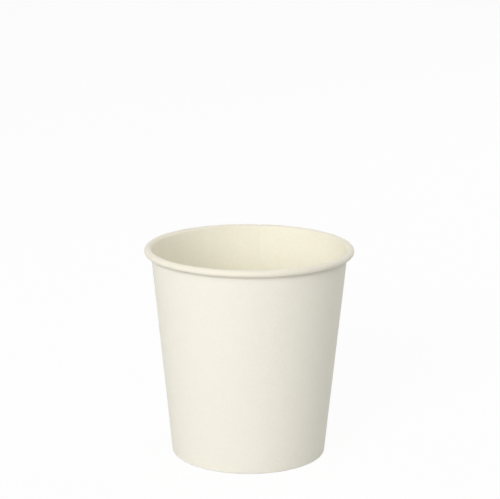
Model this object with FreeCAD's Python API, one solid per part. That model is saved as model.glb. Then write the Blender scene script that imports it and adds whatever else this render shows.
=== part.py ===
import FreeCAD, Part
import math
import os

# Paper cup for a small coffee, in millimetres.
# The cup is two pieces of coated board, sealed together with heat:
#   side_wall  one fan-shaped blank, wrapped round with a lap down the back. Its top edge is
#              curled outwards into the rim, and its bottom edge is folded in and up.
#   base_disc  one round blank with its edge turned down into a skirt. The side wall's fold
#              holds the skirt, and the base stays raised above the table.
# The frame has +Z up and its origin on the table, at the middle of the foot. The lap is at the
# back, near +Y.

# Driving dimensions
RIM_DIAMETER = 62.0  # over the curl
HEIGHT = 62.8  # table to the top of the curl
FOOT_DIAMETER = 45.9  # the wall's outer face, carried down to the table
WALL_BOARD = 0.30  # thickness of the side wall's board
BASE_BOARD = 0.28  # thickness of the base disc's board
CURL_DIAMETER = 2.2  # over the curl's first half turn
CURL_GAP = 0.05  # between the curl's turns, and between the curl and the wall
CURL_LAST_TURN = 100.0  # degrees that the board goes on inside the curl
FOLD_RADIUS = 0.04  # inside the two bends of the foot's fold
FOLD_HEIGHT = 5.2  # table to the folded edge inside the foot
BASE_HEIGHT = 6.2  # table to the underside of the base
SKIRT_BEND_RADIUS = 0.45  # inside the bend between the base and its skirt
SEAL_GAP = 0.02  # between faces that are sealed to each other
SKIRT_END_GAP = 0.12  # under the skirt's cut edge, in the fold
LAP_WIDTH = 5.0  # how far the side wall's blank overlaps itself, at half height
LAP_ANGLE = 78.0  # degrees from +X to the middle of the lap
LAP_PRESSED_TO = 1.5  # board thicknesses left in the lap after it is pressed
LAP_STEP_WIDTH = 3.0  # over which the outer board comes back into line past the inner cut edge
LAP_STEP_PARTS = 4  # flat strips that make up that step

FULL_TURN = 360.0
HALF_TURN = 180.0
QUARTER_TURN = 90.0
FOOT_CENTRE = FreeCAD.Vector(0, 0, 0)
UP = FreeCAD.Vector(0, 0, 1)

curl_radius = CURL_DIAMETER / 2
curl_centre_r = RIM_DIAMETER / 2 - curl_radius
curl_centre_z = HEIGHT - curl_radius
foot_radius = FOOT_DIAMETER / 2

# The wall's outer face starts on the foot's circle and ends one board inside the curl's outside.
rise_r = curl_centre_r - foot_radius
reach = math.hypot(rise_r, curl_centre_z)
LEAN = math.degrees(math.acos((curl_radius - WALL_BOARD) / reach) - math.atan2(curl_centre_z, rise_r))
sin_lean = math.sin(math.radians(LEAN))
cos_lean = math.cos(math.radians(LEAN))

# Depths count inwards from the wall's outer face, square to it.
skirt_depth = WALL_BOARD + SEAL_GAP
fold_depth = skirt_depth + BASE_BOARD + SEAL_GAP
lap_board = WALL_BOARD * LAP_PRESSED_TO
lap_rise = lap_board - WALL_BOARD

# Angles round the cup, in degrees: the outer board's cut edge, the inner board's cut edge, and
# the line where the outer board is back in line with the rest of the wall.
mean_radius = foot_radius + HEIGHT / 2 * sin_lean / cos_lean
outer_edge = LAP_ANGLE - math.degrees(LAP_WIDTH / 2 / mean_radius)
inner_edge = LAP_ANGLE + math.degrees(LAP_WIDTH / 2 / mean_radius)
step_end = inner_edge + math.degrees(LAP_STEP_WIDTH / mean_radius)


def on_wall(height, depth):
    """Radius of a point at a height and a depth."""
    return foot_radius + (height * sin_lean - depth) / cos_lean


def setback(turn, inside_radius, board):
    """Length that a bend takes from each of the two runs beside it."""
    return (inside_radius + board / 2) * math.tan(math.radians(turn) / 2)


class Section:
    """Section of a board in the plane of the cup's axis, laid out as runs and bends."""

    def __init__(self, board, r, z, heading):
        self.board = board
        self.place = (r, z)
        self.heading = math.radians(heading)
        self.outline = []
        left, right = self.faces()
        self.outline.append(Part.LineSegment(left, right))

    def faces(self):
        """Points on the board's left and right faces, beside the path's end."""
        r, z = self.place
        side_r = -math.sin(self.heading) * self.board / 2
        side_z = math.cos(self.heading) * self.board / 2
        return FreeCAD.Vector(r + side_r, 0, z + side_z), FreeCAD.Vector(r - side_r, 0, z - side_z)

    def run(self, length):
        left, right = self.faces()
        r, z = self.place
        self.place = (r + length * math.cos(self.heading), z + length * math.sin(self.heading))
        next_left, next_right = self.faces()
        self.outline += [Part.LineSegment(left, next_left), Part.LineSegment(right, next_right)]

    def bend(self, angle, inside_radius):
        """Turns the board by an angle in degrees, to the left if it is positive."""
        radius = math.copysign(inside_radius + self.board / 2, angle)
        r, z = self.place
        centre_r = r - radius * math.sin(self.heading)
        centre_z = z + radius * math.cos(self.heading)
        sides = [self.faces()]
        for _ in range(2):
            self.heading += math.radians(angle) / 2
            self.place = (centre_r + radius * math.sin(self.heading),
                          centre_z - radius * math.cos(self.heading))
            sides.append(self.faces())
        lefts, rights = zip(*sides)
        self.outline += [Part.Arc(*lefts), Part.Arc(*rights)]

    def wire(self):
        left, right = self.faces()
        edges = [curve.toShape() for curve in self.outline + [Part.LineSegment(left, right)]]
        return Part.Wire(Part.__sortEdges__(edges))


def turned(wire, start, end):
    """Solid of a section turned about the cup's axis from one angle to another."""
    solid = Part.Face(wire).revolve(FOOT_CENTRE, UP, end - start)
    solid.rotate(FOOT_CENTRE, UP, start)
    return solid


# Side wall


def wall_section(board=WALL_BOARD, shift=0.0):
    """The side wall's board, from the folded edge inside the foot to the curled edge in the rim.

    The shift moves the board outwards on the wall, towards the middle of the curl and towards
    the middle of the foot, which is where an outer layer lies in each of these places.
    """
    inner_turn = QUARTER_TURN + LEAN
    outer_turn = QUARTER_TURN - LEAN
    inner_setback = setback(inner_turn, FOLD_RADIUS, board)
    outer_setback = setback(outer_turn, FOLD_RADIUS, board)
    wall_middle = WALL_BOARD - shift - board / 2
    fold_middle = fold_depth + shift + board / 2

    section = Section(board, on_wall(FOLD_HEIGHT, fold_middle), FOLD_HEIGHT, -inner_turn)
    section.run((FOLD_HEIGHT - board / 2) / cos_lean - inner_setback)
    section.bend(inner_turn, FOLD_RADIUS)
    section.run((fold_middle - wall_middle) / cos_lean - inner_setback - outer_setback)
    section.bend(outer_turn, FOLD_RADIUS)

    r, z = section.place
    section.run((curl_centre_r - r) * sin_lean + (curl_centre_z - z) * cos_lean)
    first_turn = curl_radius - shift
    last_turn = first_turn - board - CURL_GAP
    section.bend(-HALF_TURN, first_turn - board)
    section.bend(-HALF_TURN, (first_turn + last_turn) / 2 - board)
    if last_turn > board + FOLD_RADIUS:
        section.bend(-CURL_LAST_TURN, last_turn - board)
    return section.wire()


def lap_step():
    """The outer board past the inner cut edge, where it comes back into line with the wall."""
    wires = []
    for part in range(LAP_STEP_PARTS + 1):
        share = part / LAP_STEP_PARTS
        shift = lap_rise * (1 + math.cos(math.pi * share)) / 2
        wire = wall_section(WALL_BOARD, shift)
        wire.rotate(FOOT_CENTRE, UP, inner_edge + (step_end - inner_edge) * share)
        wires.append(wire)
    return Part.makeLoft(wires, True, True)


def side_wall():
    single = turned(wall_section(), step_end - FULL_TURN, outer_edge)
    double = turned(wall_section(lap_board), outer_edge, inner_edge)
    return single.fuse([double, lap_step()])


# Base disc


def base_section():
    """The base disc's board, from its middle, over the bend and down the skirt."""
    turn = QUARTER_TURN + LEAN
    bend_length = setback(turn, SKIRT_BEND_RADIUS, BASE_BOARD)
    middle = BASE_HEIGHT + BASE_BOARD / 2
    skirt_end = lap_board + SKIRT_END_GAP
    section = Section(BASE_BOARD, 0.0, middle, 0.0)
    section.run(on_wall(middle, skirt_depth + BASE_BOARD / 2) - bend_length)
    section.bend(-turn, SKIRT_BEND_RADIUS)
    section.run((middle - skirt_end) / cos_lean - bend_length)
    return section.wire()


def base_disc():
    return turned(base_section(), 0.0, FULL_TURN)


def main():
    os.makedirs("parts", exist_ok=True)
    for name, make in (("side_wall", side_wall), ("base_disc", base_disc)):
        shape = make()
        box = shape.optimalBoundingBox()
        print(name, "valid", shape.isValid(), "solids", len(shape.Solids), "faces", len(shape.Faces))
        print("  volume", round(shape.Volume, 1), "mm3, x", round(box.XMin, 3), round(box.XMax, 3),
              "y", round(box.YMin, 3), round(box.YMax, 3), "z", round(box.ZMin, 3), round(box.ZMax, 3))
        shape.exportStep(os.path.join("parts", name + ".step"))


main()
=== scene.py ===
# %% [markdown]
# # A small paper coffee cup
#
# The cup is two pieces of coated board. The side wall starts as a flat blank: it is wrapped
# round, its top edge is rolled outwards into the rim, and its bottom edge is folded in and up.
# The base is a round blank with its edge turned down into a skirt, which the fold holds.
# This lesson makes both the same way: a flat blank first, then a node tree that bends it.
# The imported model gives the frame, the overall sizes and the places.

# %% Load the frame
import math

import bpy
from mathutils import Matrix, Vector


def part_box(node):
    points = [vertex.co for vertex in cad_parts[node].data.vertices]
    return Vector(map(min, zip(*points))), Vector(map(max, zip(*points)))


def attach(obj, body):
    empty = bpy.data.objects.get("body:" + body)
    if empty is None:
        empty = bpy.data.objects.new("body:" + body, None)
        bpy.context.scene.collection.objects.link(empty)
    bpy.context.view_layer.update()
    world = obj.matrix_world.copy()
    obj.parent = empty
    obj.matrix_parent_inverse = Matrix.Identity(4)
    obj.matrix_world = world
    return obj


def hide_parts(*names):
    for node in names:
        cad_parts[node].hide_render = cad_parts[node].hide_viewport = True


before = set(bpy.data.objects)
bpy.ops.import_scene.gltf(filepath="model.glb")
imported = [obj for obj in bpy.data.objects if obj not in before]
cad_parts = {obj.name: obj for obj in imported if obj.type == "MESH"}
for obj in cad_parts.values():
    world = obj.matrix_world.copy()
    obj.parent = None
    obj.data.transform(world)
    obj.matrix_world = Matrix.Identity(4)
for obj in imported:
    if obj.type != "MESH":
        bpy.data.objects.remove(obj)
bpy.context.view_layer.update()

# %% [markdown]
# ## Sizes
#
# What can be read from the frame is read from it: the rim, the height and the base's place.
# The rest are the board's own sizes, the same as in the part's source, in millimetres.
# Working in millimetres keeps the numbers readable, and one factor turns them into metres.
# A full turn is in degrees, because the blanks are laid out in degrees. The half turn, the
# quarter turn and the degree are in radians, for the bends.

# %% Sizes
MM = 0.001
MERGE_REACH = 0.000001
wall_low, wall_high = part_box("side_wall")
_, base_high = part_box("base_disc")

RIM_DIAMETER = round((wall_high.x - wall_low.x) / MM, 1)
HEIGHT = round(wall_high.z / MM, 1)
FOOT_DIAMETER = 45.9
WALL_BOARD = 0.30
BASE_BOARD = 0.28
BASE_HEIGHT = round(base_high.z / MM - BASE_BOARD, 2)
CURL_DIAMETER = 2.2
CURL_GAP = 0.05
CURL_LAST_TURN = 100.0
FOLD_RADIUS = 0.04
FOLD_HEIGHT = 5.2
SKIRT_BEND_RADIUS = 0.45
SEAL_GAP = 0.02
SKIRT_END_GAP = 0.12
LAP_WIDTH = 5.0
LAP_ANGLE = 78.0
LAP_PRESSED_TO = 1.5
LAP_STEP_WIDTH = 3.0
LAP_PRESS_EASE = 0.5
UNEVENNESS = 0.12
FULL_TURN = 360.0
HALF_TURN = math.pi
QUARTER_TURN = math.pi / 2
DEGREE = math.radians(1.0)

lap_rise = WALL_BOARD * (LAP_PRESSED_TO - 1)
mean_radius = (RIM_DIAMETER + FOOT_DIAMETER) / 4
half_lap = math.degrees(LAP_WIDTH / 2 / mean_radius)
lap_step = math.degrees(LAP_STEP_WIDTH / mean_radius)
press_ease = math.degrees(LAP_PRESS_EASE / mean_radius)
print("rim", RIM_DIAMETER, "height", HEIGHT, "base at", BASE_HEIGHT)
print("half lap in degrees", round(half_lap, 2))

# %% [markdown]
# ## Node maths as Python
#
# A node tree can hold a long formula, but one Math node after another is hard to read.
# A small class wraps a socket, so that an ordinary Python expression adds the nodes.
# The same class serves the geometry trees and the materials.


# %% A socket in an expression
class Term:
    """A socket of a node tree, to be used in Python expressions."""

    def __init__(self, bench, socket):
        self.bench = bench
        self.socket = socket

    def math(self, operation, *others):
        inputs = dict(enumerate((self, *others)))
        return self.bench.node("ShaderNodeMath", {"operation": operation}, inputs)

    def __add__(self, other):
        return self.math("ADD", other)

    def __sub__(self, other):
        return self.math("SUBTRACT", other)

    def __mul__(self, other):
        return self.math("MULTIPLY", other)

    def __truediv__(self, other):
        return self.math("DIVIDE", other)

    def __radd__(self, other):
        return self.math("ADD", other)

    def __rsub__(self, other):
        return self.bench.node("ShaderNodeMath", {"operation": "SUBTRACT"}, {0: other, 1: self})

    def __rmul__(self, other):
        return self.math("MULTIPLY", other)

    def __neg__(self):
        return self.math("MULTIPLY", -1.0)

    def sin(self):
        return self.math("SINE")

    def cos(self):
        return self.math("COSINE")

    def clamped(self):
        """This value, kept between 0 and 1."""
        return self.math("MINIMUM", 1.0).math("MAXIMUM", 0.0)


class Bench:
    """Adds nodes to a tree: a node's type, then its settings, then its inputs."""

    def __init__(self, tree):
        self.tree = tree

    def node(self, kind, settings=None, inputs=None, output=0):
        made = self.tree.nodes.new(kind)
        for name, value in (settings or {}).items():
            setattr(made, name, value)
        for key, value in (inputs or {}).items():
            if isinstance(value, Term):
                self.tree.links.new(value.socket, made.inputs[key])
            else:
                made.inputs[key].default_value = value
        return Term(self, made.outputs[output]) if made.outputs else None

    def number(self, value):
        """A plain number as a socket, so that it can be used like any other term."""
        return self.node("ShaderNodeMath", {"operation": "ADD"}, {0: value, 1: 0.0})

    def ramp(self, value, start, end, low=0.0, high=1.0):
        """Goes from low to high, with soft ends, while the value goes from start to end."""
        inputs = {"Value": value, "From Min": start, "From Max": end, "To Min": low, "To Max": high}
        return self.node("ShaderNodeMapRange", {"interpolation_type": "SMOOTHSTEP"}, inputs)

    def split(self, vector):
        parts = self.node("ShaderNodeSeparateXYZ", None, {0: vector})
        return [Term(self, socket) for socket in parts.socket.node.outputs]

    def vector(self, x, y, z):
        return self.node("ShaderNodeCombineXYZ", None, {0: x, 1: y, 2: z})


# %% [markdown]
# ## Flat blanks
#
# A blank is a closed slab. Its x says how far round the cup a point lies, in degrees. Its y
# counts the steps of the bend table: 2.5 is the middle of the third run or bend. Its z says
# which face it is on. So rows can be close together where the board will be bent, and every
# bend starts on a row. The slab's faces carry two marks: the coated face and the cut edges.


# %% Flat blank
TOP_FACE, UNDER_FACE = 0.5, -0.5


def evenly(start, end, count):
    """Numbers from start up to, but not with, end."""
    return [start + (end - start) * number / count for number in range(count)]


def table_rows(divisions):
    """Row positions for a bend table whose steps are divided so many times each."""
    rows = []
    for step, count in enumerate(divisions):
        rows += evenly(step, step + 1, count)
    return rows + [float(len(divisions))]


def flat_blank(name, stations, rows, closed_round=False):
    """A slab of board; a round blank closes on itself and has its middle at the first row."""
    loop = [(y, TOP_FACE) for y in rows] + [(y, UNDER_FACE) for y in reversed(rows)]
    around = len(loop)
    last_row = len(rows) - 1
    vertices = [(x, y, z) for x in stations for y, z in loop]
    faces, coated, cut = [], [], []

    def add_face(corners, is_coated, is_cut):
        faces.append(corners)
        coated.append(float(is_coated))
        cut.append(float(is_cut))

    for number in range(len(stations) - 1):
        near, far = number * around, (number + 1) * around
        for place in range(around if not closed_round else around - 1):
            following = (place + 1) % around
            corners = (near + place, far + place, far + following, near + following)
            add_face(corners, place > last_row, place in (last_row, around - 1))
    if not closed_round:
        end = (len(stations) - 1) * around
        for row in range(last_row):
            top, top_next, under, under_next = row, row + 1, around - 1 - row, around - 2 - row
            add_face((top, top_next, under_next, under), False, True)
            add_face((end + under, end + under_next, end + top_next, end + top), False, True)

    mesh = bpy.data.meshes.new(name)
    mesh.from_pydata(vertices, [], faces)
    for mark, values in (("coated", coated), ("cut_edge", cut)):
        mesh.attributes.new(mark, "FLOAT", "FACE").data.foreach_set("value", values)
    blank = bpy.data.objects.new(name, mesh)
    bpy.context.scene.collection.objects.link(blank)
    print(name, "blank:", len(vertices), "points,", len(faces), "faces")
    return blank


# %% [markdown]
# ## Bending a blank
#
# A board folds along a path of straight runs and round bends, so its section is a short
# table. The tree walks through the table: each step adds its share to the point's radius and
# height, and a bend also turns the heading. At the end the point moves off the path by half
# the board, to the side that it is on, and the whole is turned round the cup's axis.
# Sculpting the curl by hand would be quicker to start, but it would never keep one thickness.


# %% Path through the bend table
def follow(bench, along, start, heading, board, side, table):
    """Radius and height of a point on a board whose path is a table of runs and bends."""
    radius, height = start
    facing = heading = bench.number(heading)
    for number, step in enumerate(table):
        share = (along - float(number)).clamped()
        if step[0] == "run":
            radius = radius + step[1] * share * heading.cos()
            height = height + step[1] * share * heading.sin()
            continue
        _, turn, inside, hand = step
        bend_radius = (inside + board / 2.0) * hand
        turned = heading + turn * share * hand
        radius = radius + bend_radius * (turned.sin() - heading.sin())
        height = height - bend_radius * (turned.cos() - heading.cos())
        facing = facing + turn * share * hand
        heading = heading + turn * hand
    offset = side * board
    return radius + offset * facing.sin(), height - offset * facing.cos()


def setback(turn, inside, board):
    """Length that a bend takes from each of the runs beside it."""
    half_turn = turn / 2.0
    return (inside + board / 2.0) * (half_turn.sin() / half_turn.cos())


LEFT, RIGHT = 1.0, -1.0

# %% [markdown]
# ## Trees with named inputs
#
# Each tree takes a blank, the sizes by name and a material, and gives the shaped board. The
# inputs are set by the socket's identifier before the object is first evaluated. The result
# is turned into a plain mesh, because the export wants no live modifiers. No board is quite
# even, so a very soft noise moves each board's points a little in or out.


# %% Tree and modifier helpers
SHARP_FROM = 35.0
UNEVENNESS_SCALE = 26.0


def open_tree(name, sizes):
    """A geometry tree with a blank, named sizes and a material as inputs."""
    tree = bpy.data.node_groups.new(name, "GeometryNodeTree")
    tree.interface.new_socket(name="Blank", in_out="INPUT", socket_type="NodeSocketGeometry")
    for size in sizes:
        tree.interface.new_socket(name=size, in_out="INPUT", socket_type="NodeSocketFloat")
    tree.interface.new_socket(name="Finish", in_out="INPUT", socket_type="NodeSocketMaterial")
    tree.interface.new_socket(name="Shaped", in_out="OUTPUT", socket_type="NodeSocketGeometry")
    bench = Bench(tree)
    entrance = tree.nodes.new("NodeGroupInput")
    return bench, {socket.name: Term(bench, socket) for socket in entrance.outputs if socket.name}


def close_tree(bench, geometry, finish):
    """Ends a tree with real geometry in its material."""
    smooth = bench.node("GeometryNodeSetShadeSmooth", None, {"Geometry": geometry})
    real = bench.node("GeometryNodeRealizeInstances", None, {"Geometry": smooth})
    dressed = bench.node("GeometryNodeSetMaterial", None, {"Geometry": real, "Material": finish})
    bench.node("NodeGroupOutput", None, {0: dressed})
    return bench.tree


def shape(blank, tree, values):
    """Runs a tree on a blank and leaves the result as the blank's own plain mesh."""
    modifier = blank.modifiers.new("shape", "NODES")
    modifier.node_group = tree
    for item in tree.interface.items_tree:
        if item.in_out == "INPUT" and item.name in values:
            modifier[item.identifier] = values[item.name]
    depsgraph = bpy.context.evaluated_depsgraph_get()
    mesh = bpy.data.meshes.new_from_object(blank.evaluated_get(depsgraph), depsgraph=depsgraph)
    blank.modifiers.remove(modifier)
    blank.data = mesh
    mesh.name = blank.name
    mesh.set_sharp_from_angle(angle=math.radians(SHARP_FROM))
    triangles = sum(len(face.vertices) - 2 for face in mesh.polygons)
    reach = [round(max(abs(v.co[axis]) for v in mesh.vertices) / MM, 2) for axis in range(3)]
    print(blank.name, "shaped:", triangles, "triangles, reaches", reach, "mm")
    return blank


def stored(bench, geometry, name, value, data_type):
    """Keeps a value on every point, under a name."""
    inputs = {"Geometry": geometry, "Name": name, "Value": value}
    settings = {"data_type": data_type, "domain": "POINT"}
    return bench.node("GeometryNodeStoreNamedAttribute", settings, inputs)


def wrapped(bench, blank, radius, height, around, unevenness):
    """Puts a blank's points at their radius, height and angle, and makes them a little uneven."""
    angle = around * DEGREE
    place = bench.vector(radius * angle.cos() * MM, radius * angle.sin() * MM, height * MM)
    rolled = bench.node("GeometryNodeSetPosition", None, {"Geometry": blank, "Position": place})
    position = bench.node("GeometryNodeInputPosition")
    soft_noise = {"Vector": position, "Scale": UNEVENNESS_SCALE, "Detail": 1.0}
    waves = bench.node("ShaderNodeTexNoise", None, soft_noise)
    x, y, _ = bench.split(position)
    swell = (waves - 0.5) * unevenness / mean_radius
    nudge = bench.vector(x * swell, y * swell, 0.0)
    return bench.node("GeometryNodeSetPosition", None, {"Geometry": rolled, "Offset": nudge})


# %% [markdown]
# ## The side wall
#
# The blank goes round once and laps over itself at the back. The outer end lies on the inner
# end, both pressed a little thinner, and past the inner cut edge the board steps back in
# line. The same lap runs through the fold at the foot and through the curl, so the tree
# works out thickness and shift from the angle and passes them to every run and bend.
# The curl is the last three bends of the table, from 5 on, and the tree marks it, so that
# the finish further down can paint shade on it.

# %% Side wall tree
CUP_SIZES = {
    "Rim diameter": RIM_DIAMETER,
    "Height": HEIGHT,
    "Foot diameter": FOOT_DIAMETER,
    "Board": WALL_BOARD,
    "Curl diameter": CURL_DIAMETER,
}
LAP_SIZES = {
    "Lap angle": LAP_ANGLE,
    "Half lap": half_lap,
    "Lap step": lap_step,
    "Press ease": press_ease,
}
WALL_SIZES = {
    **CUP_SIZES,
    **LAP_SIZES,
    "Base board": BASE_BOARD,
    "Seal gap": SEAL_GAP,
    "Curl gap": CURL_GAP,
    "Curl last turn": CURL_LAST_TURN,
    "Fold radius": FOLD_RADIUS,
    "Fold height": FOLD_HEIGHT,
    "Lap pressed to": LAP_PRESSED_TO,
    "Unevenness": UNEVENNESS,
}
CURL_STEP = 5.0
CURL_EASE = 0.3


def lean_of(size):
    """The wall's lean in radians: its outer face meets the foot's circle and the curl's inside."""
    curl_radius = size["Curl diameter"] / 2.0
    rise = size["Rim diameter"] / 2.0 - curl_radius - size["Foot diameter"] / 2.0
    top = size["Height"] - curl_radius
    reach = (rise * rise + top * top).math("SQRT")
    return ((curl_radius - size["Board"]) / reach).math("ARCCOSINE") - top.math("ARCTAN2", rise)


def lap_layers(bench, size, around):
    """Share of the outer end, share of the inner end, and share of the step between them."""
    outer_edge = size["Lap angle"] - size["Half lap"]
    inner_edge = size["Lap angle"] + size["Half lap"]
    outer_end = bench.ramp(around, inner_edge, inner_edge + size["Press ease"], 1.0, 0.0)
    closing = outer_edge + FULL_TURN
    inner_end = bench.ramp(around, closing - size["Press ease"], closing)
    step = bench.ramp(around, inner_edge, inner_edge + size["Lap step"], 1.0, 0.0)
    return outer_end, inner_end, step


def wall_tree():
    """The tree that wraps, folds and curls the side wall's blank."""
    bench, size = open_tree("wrap, fold and curl", WALL_SIZES)
    around, along, side = bench.split(bench.node("GeometryNodeInputPosition"))
    outer_end, inner_end, step = lap_layers(bench, size, around)
    board = size["Board"]
    rise = board * (size["Lap pressed to"] - 1.0)
    pressed_away = (board - rise) / 2.0
    lapped = outer_end + inner_end

    thickness = board - pressed_away * lapped
    shift = rise * step + pressed_away * outer_end
    stack = board + rise * lapped
    lift = (board - pressed_away) * inner_end

    lean = lean_of(size)
    sin_lean, cos_lean = lean.sin(), lean.cos()
    leg_turn, wall_turn = QUARTER_TURN + lean, QUARTER_TURN - lean
    curl_radius = size["Curl diameter"] / 2.0
    curl_r = size["Rim diameter"] / 2.0 - curl_radius
    curl_z = size["Height"] - curl_radius

    def on_wall(height, depth):
        return size["Foot diameter"] / 2.0 + (height * sin_lean - depth) / cos_lean

    fold_depth = board + size["Base board"] + size["Seal gap"] * 2.0
    wall_middle = board - shift - thickness / 2.0
    fold_middle = fold_depth + shift + thickness / 2.0
    under = lift + thickness / 2.0
    fold_inside = size["Fold radius"] + shift
    leg_setback = setback(leg_turn, fold_inside, thickness)
    wall_setback = setback(wall_turn, fold_inside, thickness)
    leg = (size["Fold height"] - under) / cos_lean - leg_setback
    foot = (fold_middle - wall_middle) / cos_lean - leg_setback - wall_setback
    across, upwards = curl_r - on_wall(under, wall_middle), curl_z - under
    wall = across * sin_lean + upwards * cos_lean - wall_setback
    first_turn = curl_radius - shift
    last_turn = first_turn - stack - size["Curl gap"]
    second_turn = (first_turn + last_turn) / 2.0
    table = [
        ("run", leg),
        ("bend", leg_turn, fold_inside, LEFT),
        ("run", foot),
        ("bend", wall_turn, fold_inside, LEFT),
        ("run", wall),
        ("bend", HALF_TURN, first_turn - thickness, RIGHT),
        ("bend", HALF_TURN, second_turn - thickness, RIGHT),
        ("bend", size["Curl last turn"] * DEGREE, last_turn - thickness, RIGHT),
    ]
    start = (on_wall(size["Fold height"], fold_middle), size["Fold height"])
    radius, height = follow(bench, along, start, -leg_turn, thickness, side, table)
    # the curl's mark, which the finish uses for painted shade on the rim
    curled = bench.ramp(along, CURL_STEP, CURL_STEP + CURL_EASE)
    marked = stored(bench, size["Blank"], "curled", curled, "FLOAT")
    rolled = wrapped(bench, marked, radius, height, around, size["Unevenness"])
    return close_tree(bench, rolled, size["Finish"])


# %% [markdown]
# ## The base
#
# The base is a round blank, so its rows start in the middle, and the sheet closes on itself:
# the doubled points at the seam and in the middle are merged. Turning down the edge of a
# round blank leaves too much board for the smaller circle, which puckers in small ripples
# round the bend. The ripples grow round the bend and die away in the skirt, which the fold
# has pressed flat. Two ripples of different lengths, multiplied, keep them from being regular.

# %% Base tree
BASE_SIZES = {
    **CUP_SIZES,
    "Base board": BASE_BOARD,
    "Base height": BASE_HEIGHT,
    "Seal gap": SEAL_GAP,
    "Skirt bend radius": SKIRT_BEND_RADIUS,
    "Skirt end": WALL_BOARD * LAP_PRESSED_TO + SKIRT_END_GAP,
    "Pucker depth": 0.035,
    "Pucker count": 84.0,
    "Pucker group count": 17.0,
    "Unevenness": UNEVENNESS,
}
PUCKER_GROWS = (0.93, 1.6)
PUCKER_FADES = (1.7, 2.0)


def base_tree():
    """The tree that turns down the base's edge."""
    bench, size = open_tree("turn down the skirt", BASE_SIZES)
    around, along, side = bench.split(bench.node("GeometryNodeInputPosition"))
    lean = lean_of(size)
    sin_lean, cos_lean = lean.sin(), lean.cos()
    board = size["Base board"]
    turn = QUARTER_TURN + lean
    bend_setback = setback(turn, size["Skirt bend radius"], board)
    middle = size["Base height"] + board / 2.0
    skirt_depth = size["Board"] + size["Seal gap"] + board / 2.0
    skirt_radius = size["Foot diameter"] / 2.0 + (middle * sin_lean - skirt_depth) / cos_lean
    table = [
        ("run", skirt_radius - bend_setback),
        ("bend", turn, size["Skirt bend radius"], RIGHT),
        ("run", (middle - size["Skirt end"]) / cos_lean - bend_setback),
    ]
    radius, height = follow(bench, along, (0.0, middle), 0.0, board, side, table)

    angle = around * DEGREE
    ripple = (angle * size["Pucker count"]).sin() * (angle * size["Pucker group count"]).sin()
    bend_share = bench.ramp(along, *PUCKER_GROWS) * bench.ramp(along, *PUCKER_FADES, 1.0, 0.0)
    pucker = ripple * bend_share * size["Pucker depth"]
    radius, height = radius - pucker * 0.5, height - pucker
    rolled = wrapped(bench, size["Blank"], radius, height, around, size["Unevenness"])
    doubled = {"Geometry": rolled, "Distance": MERGE_REACH}
    merged = bench.node("GeometryNodeMergeByDistance", None, doubled)
    return close_tree(bench, merged, size["Finish"])


# %% [markdown]
# ## The knurl inside the foot
#
# A toothed wheel runs round inside the foot and presses the folded edge against the base's
# skirt. It leaves a band of small upright ridges. They repeat round the cup, so one ridge is
# made and placed by nodes on a circle, turned to face the axis and leaning with the wall. The
# ridge that would straddle the lap's cut edge is left out.

# %% Knurl tree
KNURL_SIZES = {
    **CUP_SIZES,
    **LAP_SIZES,
    "Face depth": 2 * WALL_BOARD + BASE_BOARD + 2 * SEAL_GAP,
    "Lap rise": lap_rise,
    "Ridge height": 3.0,
    "Ridge width": 0.62,
    "Ridge depth": 0.1,
    "Band middle": 2.9,
    "Edge clearance": 1.3,
}
KNURL_COUNT = 144
RIDGE_BALL = {"Segments": 8, "Rings": 6, "Radius": MM / 2}


def knurl_tree():
    """The tree that places the ridges round the inside of the foot."""
    bench, size = open_tree("press the knurl", KNURL_SIZES)
    lean = lean_of(size)
    middle = size["Band middle"]
    inwards = (middle * lean.sin() - size["Face depth"]) / lean.cos()
    face_radius = size["Foot diameter"] / 2.0 + inwards

    circle = bench.node("GeometryNodeMeshCircle", None, {"Vertices": KNURL_COUNT, "Radius": 1.0})
    x, y, _ = bench.split(bench.node("GeometryNodeInputPosition"))
    angle = y.math("ARCTAN2", x)
    degrees = angle * math.degrees(1.0)
    outer_edge = size["Lap angle"] - size["Half lap"]
    inner_edge = size["Lap angle"] + size["Half lap"]
    on_lap = bench.ramp(degrees, outer_edge - size["Press ease"], outer_edge)
    step = bench.ramp(degrees, inner_edge, inner_edge + size["Lap step"], 1.0, 0.0)
    radius = (face_radius - size["Lap rise"] * on_lap * step) * MM
    place = bench.vector(angle.cos() * radius, angle.sin() * radius, middle * MM)
    turn = bench.vector(-lean, 0.0, angle - QUARTER_TURN)
    points = stored(bench, circle, "turn", turn, "FLOAT_VECTOR")
    ring = bench.node("GeometryNodeSetPosition", None, {"Geometry": points, "Position": place})
    straddles = (degrees - outer_edge).math("ABSOLUTE").math("LESS_THAN", size["Edge clearance"])
    left_out = {"Geometry": ring, "Selection": straddles}
    ring = bench.node("GeometryNodeDeleteGeometry", None, left_out)

    ball = bench.node("GeometryNodeMeshUVSphere", None, RIDGE_BALL)
    ridge_size = bench.vector(size["Ridge width"], size["Ridge depth"] * 2.0, size["Ridge height"])
    ridge = bench.node("GeometryNodeTransform", None, {"Geometry": ball, "Scale": ridge_size})
    read_vector = {"data_type": "FLOAT_VECTOR"}
    named_turn = bench.node("GeometryNodeInputNamedAttribute", read_vector, {"Name": "turn"})
    ridges = bench.node("GeometryNodeInstanceOnPoints", None,
                        {"Points": ring, "Instance": ridge, "Rotation": named_turn})
    return close_tree(bench, ridges, size["Finish"])


# %% [markdown]
# ## Paper finishes
#
# Cup board is off-white and soft to look at: the fibres lie in faint clouds, and close up the
# outside has a fine tooth. The inside carries a thin clear coating, so it is smoother and has
# a slight sheen, and as the board rolls outwards the coating also covers the curl. The curl
# is painted a touch darker and warmer: painted shade that dims the rim, which the lamps alone
# leave too bright. A cut edge shows the bare fibres. One material holds all these, and the marks on
# the blank choose between them, so the finish follows the sheet wherever it is folded.


# %% Colours and finish helper
MIX_FIRST, MIX_SECOND, MIX_RESULT = 6, 7, 2
WHITE = (1.0, 1.0, 1.0, 1.0)


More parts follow.
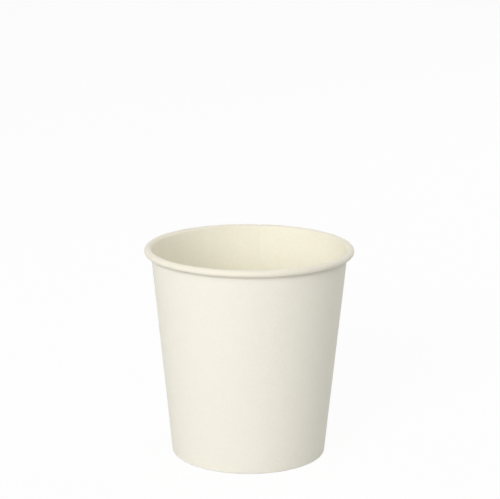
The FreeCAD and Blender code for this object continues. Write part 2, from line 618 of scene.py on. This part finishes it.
def linear(red, green, blue):
    """A colour written as it looks on screen, from 0 to 255, as a node colour (sRGB curve)."""
    values = []
    for part in (red, green, blue):
        share = part / 255.0
        values.append(share / 12.92 if share <= 0.04045 else ((share + 0.055) / 1.055) ** 2.4)
    return (*values, 1.0)


def mixed(bench, share, first, second):
    """A colour between two others."""
    inputs = {0: share, MIX_FIRST: first, MIX_SECOND: second}
    return bench.node("ShaderNodeMix", {"data_type": "RGBA"}, inputs, output=MIX_RESULT)


def noise(bench, where, grain):
    """Noise of one grain: its scale, its detail and its roughness."""
    return bench.node("ShaderNodeTexNoise", None, {"Vector": where, **grain})


def mark(bench, name):
    """A mark that the board carries, as a value from 0 to 1."""
    return bench.node("ShaderNodeAttribute", {"attribute_name": name}, None, output="Fac")


BOARD_LIGHT = linear(240.5, 237, 225)
BOARD_DARK = linear(237.5, 234, 220.5)
COATED_LIGHT = linear(240.5, 237, 220.5)
COATED_DARK = linear(237.5, 233, 216)
# painted shade: the curl's colours are darker and warmer than the board's, to dim the rim
CURL_PAINTED_SHADE_LIGHT = linear(236, 231, 215.5)
CURL_PAINTED_SHADE_DARK = linear(233, 227, 211)
CUT_LIGHT = linear(243, 239, 228)
CUT_DARK = linear(222, 216, 198)
CLOUDS = {"Scale": 210.0, "Detail": 3.0, "Roughness": 0.55}
FIBRES = {"Scale": 1500.0, "Detail": 4.0, "Roughness": 0.65}
TOOTH = {"Scale": 3600.0, "Detail": 2.0, "Roughness": 0.6}
CLOUD_TONE, FIBRE_TONE = 0.2, 0.8
TONE_RANGE = (0.34, 0.66)
CUT_RANGE = (0.35, 0.65)
BOARD_ROUGHNESS, FIBRE_ROUGHNESS, COAT_SMOOTHS = 0.72, 0.1, 0.26
FIBRE_RELIEF, TOOTH_RELIEF, CLOUD_RELIEF, COAT_FILLS = 0.6, 0.4, 0.15, 0.75
RELIEF = {"Strength": 0.22, "Distance": 0.00006}
COAT_SHEEN = 0.06
GLOSS = {"IOR": 1.46, "Specular IOR Level": 0.3, "Coat Roughness": 0.32}


def board_finish(name):
    """Coated cup board, as a material in object coordinates."""
    material = bpy.data.materials.new(name)
    material.use_nodes = True
    material.node_tree.nodes.clear()
    bench = Bench(material.node_tree)
    where = bench.node("ShaderNodeTexCoord", None, None, output="Object")
    coated = mark(bench, "coated")
    curled = mark(bench, "curled")
    cut = mark(bench, "cut_edge")

    clouds = noise(bench, where, CLOUDS)
    fibres = noise(bench, where, FIBRES)
    tooth = noise(bench, where, TOOTH)
    tone = bench.ramp(clouds * CLOUD_TONE + fibres * FIBRE_TONE, *TONE_RANGE)
    outside = mixed(bench, tone, BOARD_DARK, BOARD_LIGHT)
    inside = mixed(bench, tone, COATED_DARK, COATED_LIGHT)
    # painted shade: the curl is coloured darker and warmer, to dim the rim under this light
    curl_painted_shade = mixed(bench, tone, CURL_PAINTED_SHADE_DARK, CURL_PAINTED_SHADE_LIGHT)
    bare = mixed(bench, bench.ramp(fibres, *CUT_RANGE), CUT_DARK, CUT_LIGHT)
    # the curl's mark picks the painted shade colours on the rim
    sheet = mixed(bench, curled, mixed(bench, coated, outside, inside), curl_painted_shade)
    colour = mixed(bench, cut, sheet, bare)

    smooth_coat = coated * (1.0 - cut)
    roughness = BOARD_ROUGHNESS + fibres * FIBRE_ROUGHNESS - smooth_coat * COAT_SMOOTHS
    open_relief = fibres * FIBRE_RELIEF + tooth * TOOTH_RELIEF
    relief = open_relief * (1.0 - smooth_coat * COAT_FILLS) + clouds * CLOUD_RELIEF
    normal = bench.node("ShaderNodeBump", None, {**RELIEF, "Height": relief})
    shader = bench.node("ShaderNodeBsdfPrincipled", None, {
        **GLOSS,
        "Base Color": colour,
        "Roughness": roughness,
        "Normal": normal,
        "Coat Weight": smooth_coat * COAT_SHEEN,
    })
    bench.node("ShaderNodeOutputMaterial", None, {0: shader})
    print(name, "has", len(material.node_tree.nodes), "nodes")
    return material


# %% Make the side wall
WALL_DIVISIONS = (5, 7, 2, 7, 40, 16, 14, 6)
LAP_PARTS, EASE_PARTS, STEP_PARTS, ROUND_PARTS = 8, 3, 7, 272
wall_start = LAP_ANGLE - half_lap
wall_end = LAP_ANGLE + half_lap + FULL_TURN
inner_edge = LAP_ANGLE + half_lap
stations = (
    evenly(wall_start, inner_edge, LAP_PARTS)
    + evenly(inner_edge, inner_edge + press_ease, EASE_PARTS)
    + evenly(inner_edge + press_ease, inner_edge + lap_step, STEP_PARTS)
    + evenly(inner_edge + lap_step, wall_start + FULL_TURN - press_ease, ROUND_PARTS)
    + evenly(wall_start + FULL_TURN - press_ease, wall_start + FULL_TURN, EASE_PARTS)
    + evenly(wall_start + FULL_TURN, wall_end, LAP_PARTS)
    + [wall_end]
)
wall_board = board_finish("side wall board")
side_wall = flat_blank("side_wall_board", stations, table_rows(WALL_DIVISIONS))
shape(side_wall, wall_tree(), {**WALL_SIZES, "Finish": wall_board})
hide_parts("side_wall")
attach(side_wall, "root")

# %% Make the base
BASE_DIVISIONS = (14, 12, 6)
BASE_PARTS = 336
base_board = board_finish("base board")
base_stations = evenly(0.0, FULL_TURN, BASE_PARTS) + [FULL_TURN]
base_rows = table_rows(BASE_DIVISIONS)
base_disc = flat_blank("base_disc_board", base_stations, base_rows, closed_round=True)
shape(base_disc, base_tree(), {**BASE_SIZES, "Finish": base_board})
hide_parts("base_disc")
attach(base_disc, "root")

# %% Press the knurl
knurl_start = bpy.data.meshes.new("foot_knurl")
foot_knurl = bpy.data.objects.new("foot_knurl", knurl_start)
bpy.context.scene.collection.objects.link(foot_knurl)
shape(foot_knurl, knurl_tree(), {**KNURL_SIZES, "Finish": wall_board})
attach(foot_knurl, "root")

# %% [markdown]
# ## Floor and background
#
# The cup stands on a pale table in front of white. The table is real enough to take a soft
# shadow, but to the camera it is mostly plain white, and so is the world. Only what the
# camera and reflections see is made white: the light on the cup stays at a plain level. The
# top of the rim is dim in the photograph, so little light comes from straight above: the
# world shines mostly from a band above the horizon, like the walls of a tent. From below, the
# table can be looked through, and it has a hole inside the foot's ring, where nobody sees it
# from above. Light from under the table enters there and shows the base.


# %% Floor and world
def seen_directly(bench):
    """1 for rays from the camera and in reflections, and 0 for light that falls on things."""
    seen = None
    for output in ("Is Camera Ray", "Is Glossy Ray", "Is Transmission Ray"):
        ray = bench.node("ShaderNodeLightPath", None, None, output=output)
        seen = ray if seen is None else seen.math("MAXIMUM", ray)
    return seen


TABLE_REACH = 6.0
HOLE_MARGIN = 0.23
TABLE_HOLE = (FOOT_DIAMETER / 2 - HOLE_MARGIN) * MM
TABLE_PARTS = 96
TABLE_TONE = (0.6, 0.6, 0.6, 1.0)
TABLE_TONE_SEEN = (0.92, 0.92, 0.92, 1.0)
TABLE_WHITE_SHARE = 0.92


def table_mesh():
    """A wide ring: its hole is a little smaller than the foot, which stands round it."""
    corners, faces = [], []
    for reach in (TABLE_HOLE, TABLE_REACH):
        for part in range(TABLE_PARTS):
            turn = math.radians(FULL_TURN * part / TABLE_PARTS)
            corners.append((reach * math.cos(turn), reach * math.sin(turn), 0.0))
    for part in range(TABLE_PARTS):
        following = (part + 1) % TABLE_PARTS
        faces.append((part, TABLE_PARTS + part, TABLE_PARTS + following, following))
    mesh = bpy.data.meshes.new("floor")
    mesh.from_pydata(corners, [], faces)
    return mesh


def pale_table():
    """The floor: its upper side is the table, and its underside can be looked through."""
    mesh = table_mesh()
    material = bpy.data.materials.new("pale table")
    material.use_nodes = True
    material.node_tree.nodes.clear()
    bench = Bench(material.node_tree)
    seen = seen_directly(bench)
    tone = mixed(bench, seen, TABLE_TONE, TABLE_TONE_SEEN)
    paint = bench.node("ShaderNodeBsdfDiffuse", None, {"Color": tone})
    glow = bench.node("ShaderNodeEmission", None, {"Color": WHITE, "Strength": 1.0})
    white_share = seen * TABLE_WHITE_SHARE
    table = bench.node("ShaderNodeMixShader", None, {0: white_share, 1: paint, 2: glow})
    from_below = bench.node("ShaderNodeNewGeometry", None, None, output="Backfacing")
    clear = bench.node("ShaderNodeBsdfTransparent")
    one_sided = bench.node("ShaderNodeMixShader", None, {0: from_below, 1: table, 2: clear})
    bench.node("ShaderNodeOutputMaterial", None, {0: one_sided})
    mesh.materials.append(material)
    floor = bpy.data.objects.new("floor", mesh)
    bpy.context.scene.collection.objects.link(floor)
    return floor


WALL_LIGHT = 1.28
CEILING_LIGHT = 0.3
LIGHT_FROM_BELOW = 0.8
WALLS_START = (12.0, 24.0)
CEILING_STARTS = (34.0, 50.0)
BELOW_ENDS = (-10.0, 0.0)


def rising(bench, upward, start, end):
    """Goes from 0 to 1 between two angles above the horizon, in degrees."""
    return bench.ramp(upward, math.sin(math.radians(start)), math.sin(math.radians(end)))


def white_world():
    """White all round to the camera; its light comes mostly from the studio's walls."""
    world = bpy.data.worlds.new("white studio")
    world.use_nodes = True
    world.node_tree.nodes.clear()
    bench = Bench(world.node_tree)
    direction = bench.node("ShaderNodeTexCoord", None, None, output="Generated")
    _, _, upward = bench.split(direction)
    walls = rising(bench, upward, *WALLS_START)
    ceiling = rising(bench, upward, *CEILING_STARTS)
    below = 1.0 - rising(bench, upward, *BELOW_ENDS)
    level = (walls - ceiling) * WALL_LIGHT + ceiling * CEILING_LIGHT + below * LIGHT_FROM_BELOW
    seen = seen_directly(bench)
    strength = seen + (1.0 - seen) * level
    light = bench.node("ShaderNodeBackground", None, {"Color": WHITE, "Strength": strength})
    bench.node("ShaderNodeOutputWorld", None, {0: light})
    bpy.context.scene.world = world


pale_table()
white_world()

# %% [markdown]
# ## Lamps
#
# The cup is brightest a little left of its middle and darkest at its right edge, and inside
# it is the other way round. So one large soft lamp stands in front, to the left and a little
# above. Two weak lamps, at the left and behind at the right, lift the left edge and even out
# the inside, and the band of the world fills the rest. All three are the same size and as far
# away, so each is given by its direction and its strength.

# %% Lamps
LAMPS = {
    "key": {"azimuth": -22.0, "elevation": 22.0, "power": 6.72},
    "left": {"azimuth": -100.0, "elevation": 30.0, "power": 0.95},
    "back right": {"azimuth": 130.0, "elevation": 30.0, "power": 2.25},
}
LAMP_AIM = Vector((0.0, 0.0, HEIGHT * MM / 2))
LAMP_DISTANCE = 1.1
LAMP_SIZE = 0.6


def place_lamp(name, azimuth, elevation, power):
    """A square soft lamp facing the cup; azimuth 0 is the camera's side, and left is negative."""
    lamp = bpy.data.lights.new(name, "AREA")
    lamp.shape = "SQUARE"
    lamp.size = LAMP_SIZE
    lamp.energy = power
    turn, lift = math.radians(azimuth), math.radians(elevation)
    level = math.cos(lift)
    way = Vector((math.sin(turn) * level, -math.cos(turn) * level, math.sin(lift)))
    stand = bpy.data.objects.new(name, lamp)
    stand.location = LAMP_AIM + way * LAMP_DISTANCE
    stand.rotation_euler = (-way).to_track_quat("-Z", "Y").to_euler()
    bpy.context.scene.collection.objects.link(stand)
    return stand


for lamp_name, lamp_sizes in LAMPS.items():
    place_lamp(lamp_name, **lamp_sizes)
print("lamps:", ", ".join(LAMPS))

# %% [markdown]
# ## Camera
#
# The photograph was taken from a little above, with a long lens. Its outline gives the place:
# the camera looks along +Y, tilted down, and the cup leans a quarter of a degree in the
# frame. The lens is written for a sensor 36 mm wide.

# %% Camera
IMAGE_WIDTH = 500.0
FOCAL_PIXELS = 1767.5
SENSOR_WIDTH = 36.0
CAMERA_PLACE = Vector((0.22, -508.3, 182.4)) * MM
CAMERA_TILT = 13.353
CAMERA_ROLL = 0.257
CLIP_START, CLIP_END = 0.01, 50.0


def place_camera():
    """The camera, at the photograph's place and with its lens."""
    camera = bpy.data.cameras.new("camera")
    camera.sensor_width = SENSOR_WIDTH
    camera.lens = FOCAL_PIXELS * SENSOR_WIDTH / IMAGE_WIDTH
    camera.clip_start, camera.clip_end = CLIP_START, CLIP_END
    stand = bpy.data.objects.new("camera", camera)
    tilt = Matrix.Rotation(math.radians(90.0 - CAMERA_TILT), 4, "X")
    roll = Matrix.Rotation(math.radians(CAMERA_ROLL), 4, "Z")
    stand.matrix_world = Matrix.Translation(CAMERA_PLACE) @ tilt @ roll
    bpy.context.scene.collection.objects.link(stand)
    bpy.context.scene.camera = stand
    print("lens", round(camera.lens, 2), "mm")


place_camera()
bpy.context.scene.view_settings.view_transform = "Standard"
